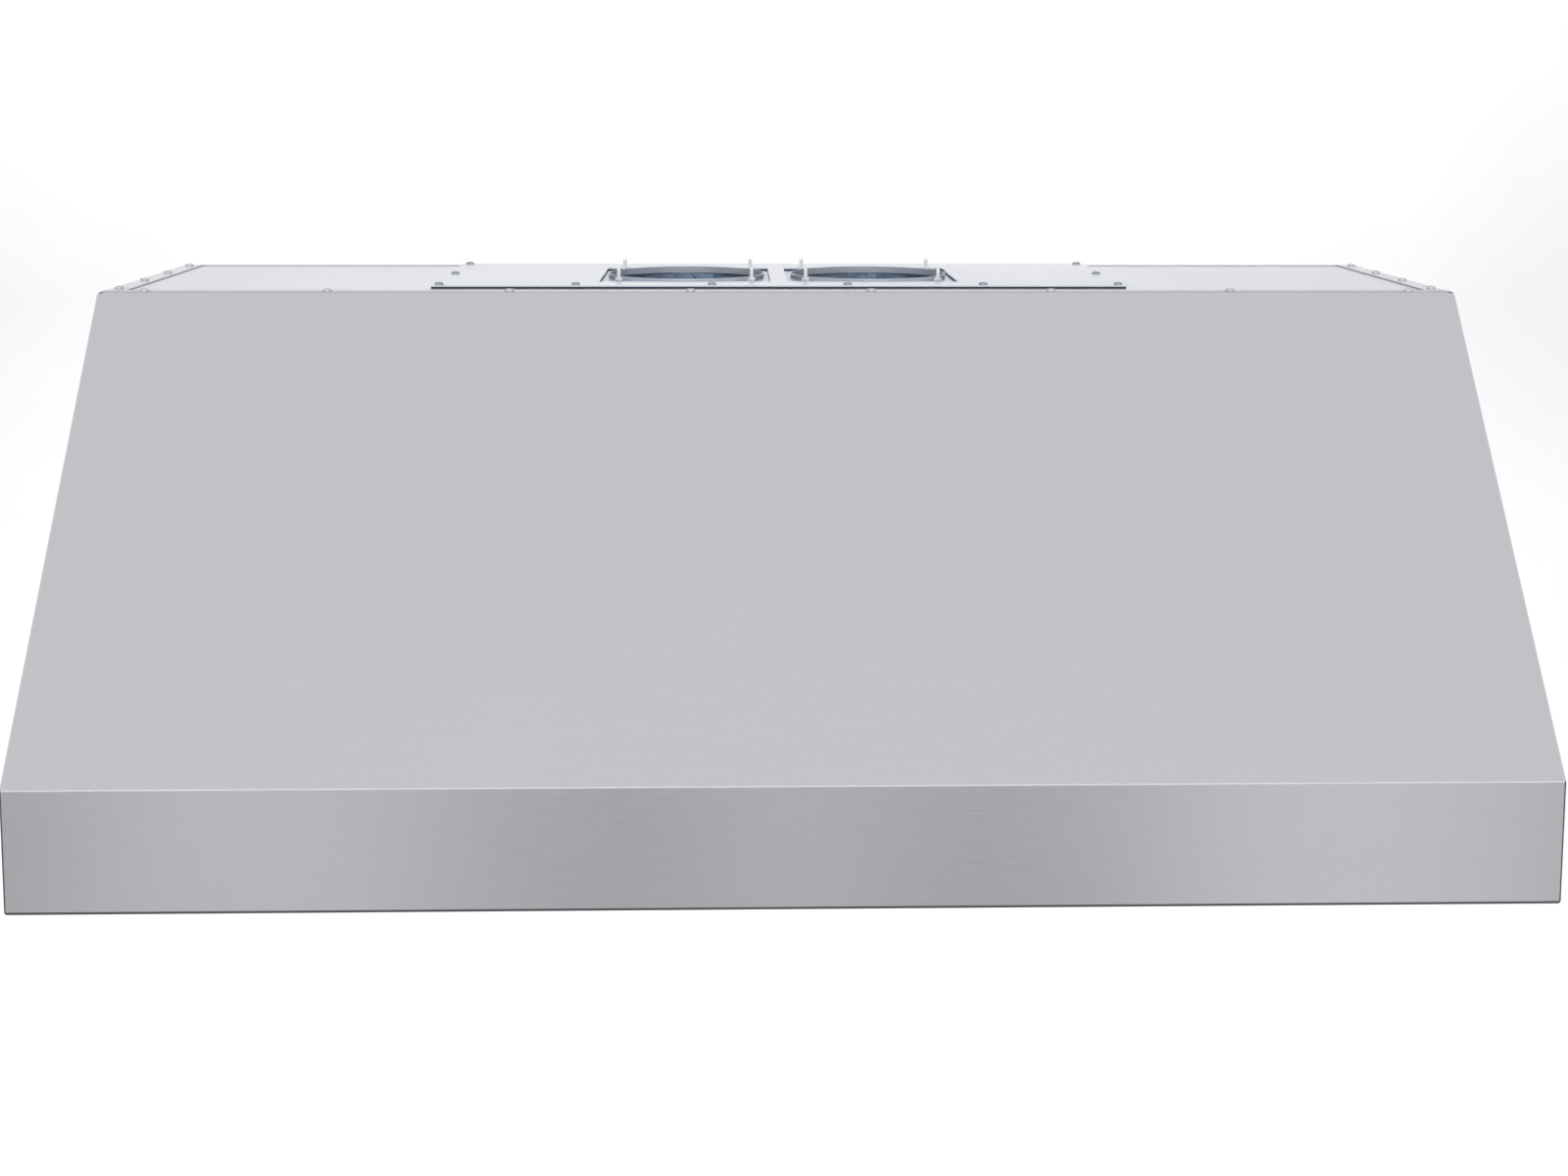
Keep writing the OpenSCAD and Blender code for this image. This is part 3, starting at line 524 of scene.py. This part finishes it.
def build_seam_beads():
    """A near-black bead where each side panel's flange lies on the top panel: painted shade, standing for the
    dark gap of the seam.
    """
    width = 1.5 * MM
    rise = 1.1 * MM
    front_flange = 17 * MM
    profile = ((0, 0), (width, 0), (width * 0.45, rise * 0.75), (0, rise))
    top_low, top_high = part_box("top_panel")
    bm = bmesh.new()
    for edge_x, inward in ((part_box("right_side_panel")[0].x, -1), (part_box("left_side_panel")[1].x, 1)):
        near, far = ([bm.verts.new((edge_x + inward * x, y, top_high.z + z)) for x, z in profile]
                     for y in (top_low.y + front_flange, top_high.y))
        join_rings(bm, near, far)
        bm.faces.new(near)
        bm.faces.new(far)
    add_piece("seam_beads", bm, "seam_shade")


def thread_profile(bottom, top):
    """The outline of a threaded stud, as rings rather than a helix."""
    major = 1.95 * MM
    minor = 1.6 * MM
    pitch = 0.7 * MM
    chamfer = 1 * MM
    profile = [(0, bottom), (minor, bottom)]
    for i in range(int((top - bottom - chamfer) / pitch)):
        profile += [(major, bottom + (i + 0.45) * pitch), (minor, bottom + (i + 0.95) * pitch)]
    return profile + [(minor * 0.8, top), (0, top)]


def nut_profiles(bottom):
    """The outlines of a flange nut's round seat and of its hexagon."""
    bore = 2 * MM
    seat = 4.6 * MM
    corner = 3.9 * MM
    hex_bottom = bottom + 1.2 * MM
    top = bottom + 5 * MM
    flange = [(bore, bottom), (seat, bottom), (seat, bottom + 0.7 * MM), (corner * 0.98, bottom + 1.3 * MM)]
    hexagon = [(bore, hex_bottom), (corner, hex_bottom), (corner, bottom + 4.4 * MM), (corner * 0.86, top),
               (bore, top)]
    return flange, hexagon


def build_studs():
    """Threaded studs with flange nuts, in the places of the plain CAD ones."""
    studs = bmesh.new()
    nuts = bmesh.new()
    for low, high in islands("duct_studs"):
        middle = (low + high) / 2
        place = Matrix.Translation((middle.x, middle.y, 0)) @ Matrix.Rotation(random.uniform(0, 1), 4, "Z")
        lathe(studs, thread_profile(low.z, high.z), 24, place)
        flange, hexagon = nut_profiles(low.z + 1.2 * MM)
        lathe(nuts, flange, 36, place)
        lathe(nuts, hexagon, 6, place)
    add_piece("duct_stud_threads", studs, "nut", replaces=("duct_studs",), smooth=25)
    add_piece("duct_stud_nuts", nuts, "nut", smooth=25)


def build_lamp_insides():
    """Behind each lens: a bright cone, and a round board with a ring of eight chips round a middle one."""
    board_r = 19 * MM
    chip_ring_r = 11 * MM
    cone_r = 27.8 * MM
    for k in range(1, 5):
        middle = centre(f"lamp_{k}_lens")
        place = Matrix.Translation((middle.x, middle.y, 0))
        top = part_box(f"lamp_{k}_housing")[1].z - 2.2 * MM
        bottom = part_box(f"lamp_{k}_lens")[1].z + 0.4 * MM
        board_z = top - 1.4 * MM
        cone_top = top - 1.6 * MM
        chip_z = top - 1.9 * MM
        cone = bmesh.new()
        lathe(cone, [(cone_r - 0.4 * MM, bottom), (cone_r - 1.8 * MM, bottom + 3 * MM), (board_r, cone_top),
                     (board_r + 0.6 * MM, cone_top), (cone_r, bottom + 2 * MM), (cone_r, bottom)], 64, place)
        board = bmesh.new()
        lathe(board, [(0, board_z), (board_r, board_z), (board_r, top), (0, top)], 48, place)
        chips = bmesh.new()
        for i in range(9):
            angle = i * math.pi / 4
            at = place @ Matrix.Translation(on_circle(chip_ring_r if i else 0, angle, chip_z))
            add_block(chips, at @ Matrix.Rotation(angle, 4, "Z"), (3 * MM, 3 * MM, 1 * MM))
        bmesh.ops.bevel(chips, geom=chips.edges, offset=0.2 * MM, segments=1)
        add_piece(f"lamp_{k}_cone", cone, "bar")
        add_piece(f"lamp_{k}_board", board, "white")
        add_piece(f"lamp_{k}_chips", chips, "chip")


def flat_shape(bm, points, z, thickness, matrix):
    """A thin plate over a flat outline."""
    bottom = [bm.verts.new(matrix @ Vector((x, y, z))) for x, y in points]
    face = bm.faces.new(bottom)
    moved = bmesh.ops.extrude_face_region(bm, geom=[face])["geom"]
    up = [v for v in moved if isinstance(v, bmesh.types.BMVert)]
    bmesh.ops.translate(bm, verts=up, vec=Vector((0, 0, thickness)))


def bar(cx, cy, w, h):
    """The outline of an upright rectangle about a centre."""
    return [(cx + x * w / 2, cy + y * h / 2) for x, y in ((-1, -1), (1, -1), (1, 1), (-1, 1))]


def ring_shape(bm, inner, outer, z, thickness, matrix, start=0.0, sweep=2 * math.pi):
    """A thin flat ring, or the part of one that a sweep covers."""
    steps = 40
    for i in range(steps):
        a, b = (start + sweep * k / steps for k in (i, i + 1))
        corners = (on_circle(inner, a), on_circle(outer, a), on_circle(outer, b), on_circle(inner, b))
        flat_shape(bm, [corner.xy for corner in corners], z, thickness, matrix)
    bmesh.ops.remove_doubles(bm, verts=bm.verts, dist=1e-7)


def build_symbols():
    """Plain printed symbols on the buttons: a lamp, the off mark, and one to three bars for the speeds."""
    print_t = 0.06 * MM
    speeds = ("low", "medium", "high")
    for key in ("light", "off", *speeds):
        node = key + "_button"
        middle = centre(node)
        place = Matrix.Translation((middle.x, middle.y, 0))
        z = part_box(node)[0].z - print_t
        bm = bmesh.new()
        if key == "light":
            ring_shape(bm, 1.5 * MM, 2.1 * MM, z, print_t, place)
            for i in range(8):
                spoke = place @ Matrix.Rotation(i * math.pi / 4, 4, "Z")
                flat_shape(bm, bar(3.5 * MM, 0, 1.4 * MM, 0.5 * MM), z, print_t, spoke)
        elif key == "off":
            ring_shape(bm, 2.6 * MM, 3.2 * MM, z, print_t, place, math.radians(-60), math.radians(300))
            flat_shape(bm, bar(0, -2.6 * MM, 0.6 * MM, 3 * MM), z, print_t, place)
        else:
            last = speeds.index(key)
            for i in range(last + 1):
                upright = bar((i - last / 2) * 1.8 * MM, 0, 0.8 * MM, (2.4 + i * 1.2) * MM)
                flat_shape(bm, upright, z, print_t, place)
        add_piece(key + "_symbol", bm, "ink", body=key + "_key")


def filter_place(i):
    """The frame a filter is drawn in: flat, running towards -Y from its hinge, then tilted up about it."""
    joint = next(j for j in frame["joints"] if j["name"] == f"filter_{i}_swing")
    x = centre(f"filter_{i}_frame").x
    hinge = Vector((x, joint["pos_m"][1], joint["pos_m"][2]))
    return Matrix.Translation(hinge) @ Matrix.Rotation(math.radians(-FILTER_TILT), 4, "X")


def build_filter_details():
    """Domed rivets at each frame's corners, and a painted shadow line: a thin dark strip over each mitred
    corner joint.
    """
    rivet_inset = 6 * MM
    mitre_ends = (0.6 * MM, 11.4 * MM)
    mitre_half = 0.15 * MM
    mitre_t = 0.08 * MM
    rivet = [(0, -1.1 * MM), (1.2 * MM, -0.9 * MM), (2.1 * MM, -0.4 * MM), (2.4 * MM, 0.2 * MM),
             (0, 0.2 * MM)]
    for i in range(1, 5):
        low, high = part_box(f"filter_{i}_frame")
        half = (high.x - low.x) / 2
        place = filter_place(i)
        rivets = bmesh.new()
        mitre_shadows = bmesh.new()
        for side in (-1, 1):
            for end, inward in ((-FILTER_REACH, 1), (-FILTER_START, -1)):
                corner = Vector((side * half, end))
                diagonal = Vector((-side, inward))
                seat = corner + diagonal * rivet_inset
                lathe(rivets, rivet, 20, place @ Matrix.Translation((*seat, FILTER_RISE)))
                outer, inner = (corner + diagonal * d for d in mitre_ends)
                across = Vector((side, inward)).normalized() * mitre_half
                outline = [outer + across, inner + across, inner - across, outer - across]
                flat_shape(mitre_shadows, outline, FILTER_RISE - mitre_t / 2, mitre_t, place)
        add_piece(f"filter_{i}_rivets", rivets, "bar", body=f"filter_{i}")
        add_piece(f"filter_{i}_mitres", mitre_shadows, "edge", body=f"filter_{i}")


def build_cable_ties():
    """Nylon ties round the cable runs, each with its square lock and cut tail."""
    half_w = 1.8 * MM
    outer = CABLE_R + 0.9 * MM
    band = [(CABLE_R, -half_w), (outer, -half_w), (outer, half_w), (CABLE_R, half_w), (CABLE_R, -half_w)]
    low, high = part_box("wiring_harness")
    lamp_run_y = low.y + CABLE_R
    side_run_x = high.x - CABLE_R
    places = [((x, lamp_run_y, CABLE_LOW_Z), "Y") for x in (-0.55, -0.36, -0.16)]
    places += [((x, y, z), "X")
               for x, z in ((-side_run_x, CABLE_LOW_Z), (side_run_x, CABLE_LOW_Z + 10 * MM))
               for y in (-0.12, 0.08)]
    bm = bmesh.new()
    for place, turned_about in places:
        at = Matrix.Translation(place) @ Matrix.Rotation(math.pi / 2, 4, turned_about)
        lathe(bm, band, 24, at)
        lock = at @ Matrix.Translation((0, CABLE_R + 1.6 * MM, 0))
        add_block(bm, lock, (3.4 * MM, 2.6 * MM, 4.4 * MM))
        tail = at @ Matrix.Translation((1.5 * MM, CABLE_R + 5 * MM, 0)) @ Matrix.Rotation(0.3, 4, "Z")
        add_block(bm, tail, (1 * MM, 7 * MM, 3 * MM))
    add_piece("cable_ties", bm, "tie", smooth=30)


def build_box_clamps():
    """Round cable clamps where the cables enter the junction box."""
    bore = 3.6 * MM
    nut_r = 10 * MM
    body_r = 8.6 * MM
    length = 10 * MM
    cable_inset = 34 * MM
    clamp = [(bore, 0), (nut_r, 0), (nut_r, 2.4 * MM), (body_r, 3 * MM), (body_r, 9 * MM),
             (body_r - 1 * MM, length), (bore, length)]
    low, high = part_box("junction_box")
    middle_z = (low.z + high.z) / 2
    bm = bmesh.new()
    for x, out in ((low.x, -1), (high.x, 1)):
        place = Matrix.Translation((x, high.y - cable_inset, middle_z))
        lathe(bm, clamp, 28, place @ Matrix.Rotation(out * math.pi / 2, 4, "Y"))
    add_piece("junction_box_clamps", bm, "nut", smooth=30)


def build_capacitor_bands():
    """Two steel bands round each run capacitor."""
    half_w = 2.5 * MM
    inner = CAPACITOR_R + 0.05 * MM
    outer = inner + 0.7 * MM
    band = [(inner, -half_w), (outer, -half_w), (outer, half_w), (inner, half_w)]
    bm = bmesh.new()
    for low, high in islands("run_capacitors"):
        middle = (low + high) / 2
        for inset in (22 * MM, 42 * MM):
            place = Matrix.Translation((middle.x, high.y - inset, middle.z))
            lathe(bm, band, 40, place @ Matrix.Rotation(math.pi / 2, 4, "X"))
    add_piece("capacitor_bands", bm, "spring", smooth=30)


# ---------- stage, light and camera ----------

def build_sweep():
    """A pale paper sweep: a floor well below the hood, which curves up behind it into a wall."""
    angles = [math.pi / 2 * i / SWEEP_STEPS for i in range(SWEEP_STEPS + 1)]
    curve = [(SWEEP_BACK + SWEEP_R * math.sin(a), FLOOR_Z + SWEEP_R * (1 - math.cos(a))) for a in angles]
    profile = [(SWEEP_FRONT, FLOOR_Z), *curve, (SWEEP_BACK + SWEEP_R, SWEEP_TOP)]
    bm = bmesh.new()
    rows = [[bm.verts.new((x, y, z)) for x in (-SWEEP_HALF, SWEEP_HALF)] for y, z in profile]
    for near, far in zip(rows, rows[1:]):
        bm.faces.new((near[0], near[1], far[1], far[0]))
    mesh = bpy.data.meshes.new("paper_sweep")
    bm.to_mesh(mesh)
    bm.free()
    mesh.shade_smooth()
    sweep = bpy.data.objects.new("paper_sweep", mesh)
    f = Finish("paper")
    tone = f.between(f.noise(0.8, detail=3.0), 0.2, 0.8)
    f.colour(f.mixed(tone, (0.53, 0.53, 0.535), (0.56, 0.56, 0.565)))
    f.roughness(f.between(f.noise(30, detail=3.0), 0.8, 0.95))
    mesh.materials.append(f.material)
    bpy.context.scene.collection.objects.link(sweep)


def area_light(name, place, target, size, power, in_reflections=True):
    """A softbox of a width and height, aimed at a point and out of the camera's sight."""
    data = bpy.data.lights.new(name, "AREA")
    data.shape = "RECTANGLE"
    data.size, data.size_y = size
    data.energy = power
    light = bpy.data.objects.new(name, data)
    light.location = place
    light.rotation_euler = (Vector(target) - Vector(place)).to_track_quat("-Z", "Y").to_euler()
    light.visible_camera = False
    light.visible_glossy = in_reflections
    bpy.context.scene.collection.objects.link(light)


def build_world():
    """A plain white dome."""
    world = bpy.data.worlds.new("studio")
    world.use_nodes = True
    bpy.context.scene.world = world
    back = world.node_tree.nodes["Background"]
    back.inputs["Color"].default_value = (0.96, 0.965, 0.98, 1)
    back.inputs["Strength"].default_value = 1.0


def build_camera():
    """The photograph's view: from in front, a little above the top, tilted gently down."""
    data = bpy.data.cameras.new("camera")
    data.lens = CAMERA_LENS
    data.sensor_width = 36
    data.shift_y = CAMERA_SHIFT
    data.clip_end = 200
    camera = bpy.data.objects.new("camera", data)
    camera.location = CAMERA_PLACE
    camera.rotation_euler = [math.radians(turn) for turn in (90 + CAMERA_TILT, CAMERA_ROLL, CAMERA_TURN)]
    bpy.context.scene.collection.objects.link(camera)
    bpy.context.scene.camera = camera


def build_stage():
    build_sweep()
    build_world()
    area_light("overhead_softbox", place=(0, -0.6, 3.2), target=(0, 0, 0.2), size=(4.0, 3.0), power=4)
    area_light("bend_strip", place=(0, -4.5, 2.2), target=(0, -0.3, 0.1), size=(6.0, 0.7), power=32)
    area_light("sweep_softbox", place=(0, 4.5, 4.5), target=(0, 6.5, FLOOR_Z), size=(10.0, 4.0), power=1000,
               in_reflections=False)
    for name, x, width, power in STRIPS:
        area_light(name, place=(x, STRIP_Y, STRIP_Z), target=(x / 3, -0.3, 0.05), size=(width, STRIP_H),
                   power=power)
    bpy.context.scene.view_settings.view_transform = "Standard"
    bpy.context.scene.view_settings.look = "None"


build_stage()
build_camera()
dress_nodes()
build_screws("casing_screws", "casing_screw")
build_screws("plate_screws", "screw")
build_studs()
build_seam_beads()
build_lamp_insides()
build_symbols()
build_filter_details()
build_cable_ties()
build_box_clamps()
build_capacitor_bands()
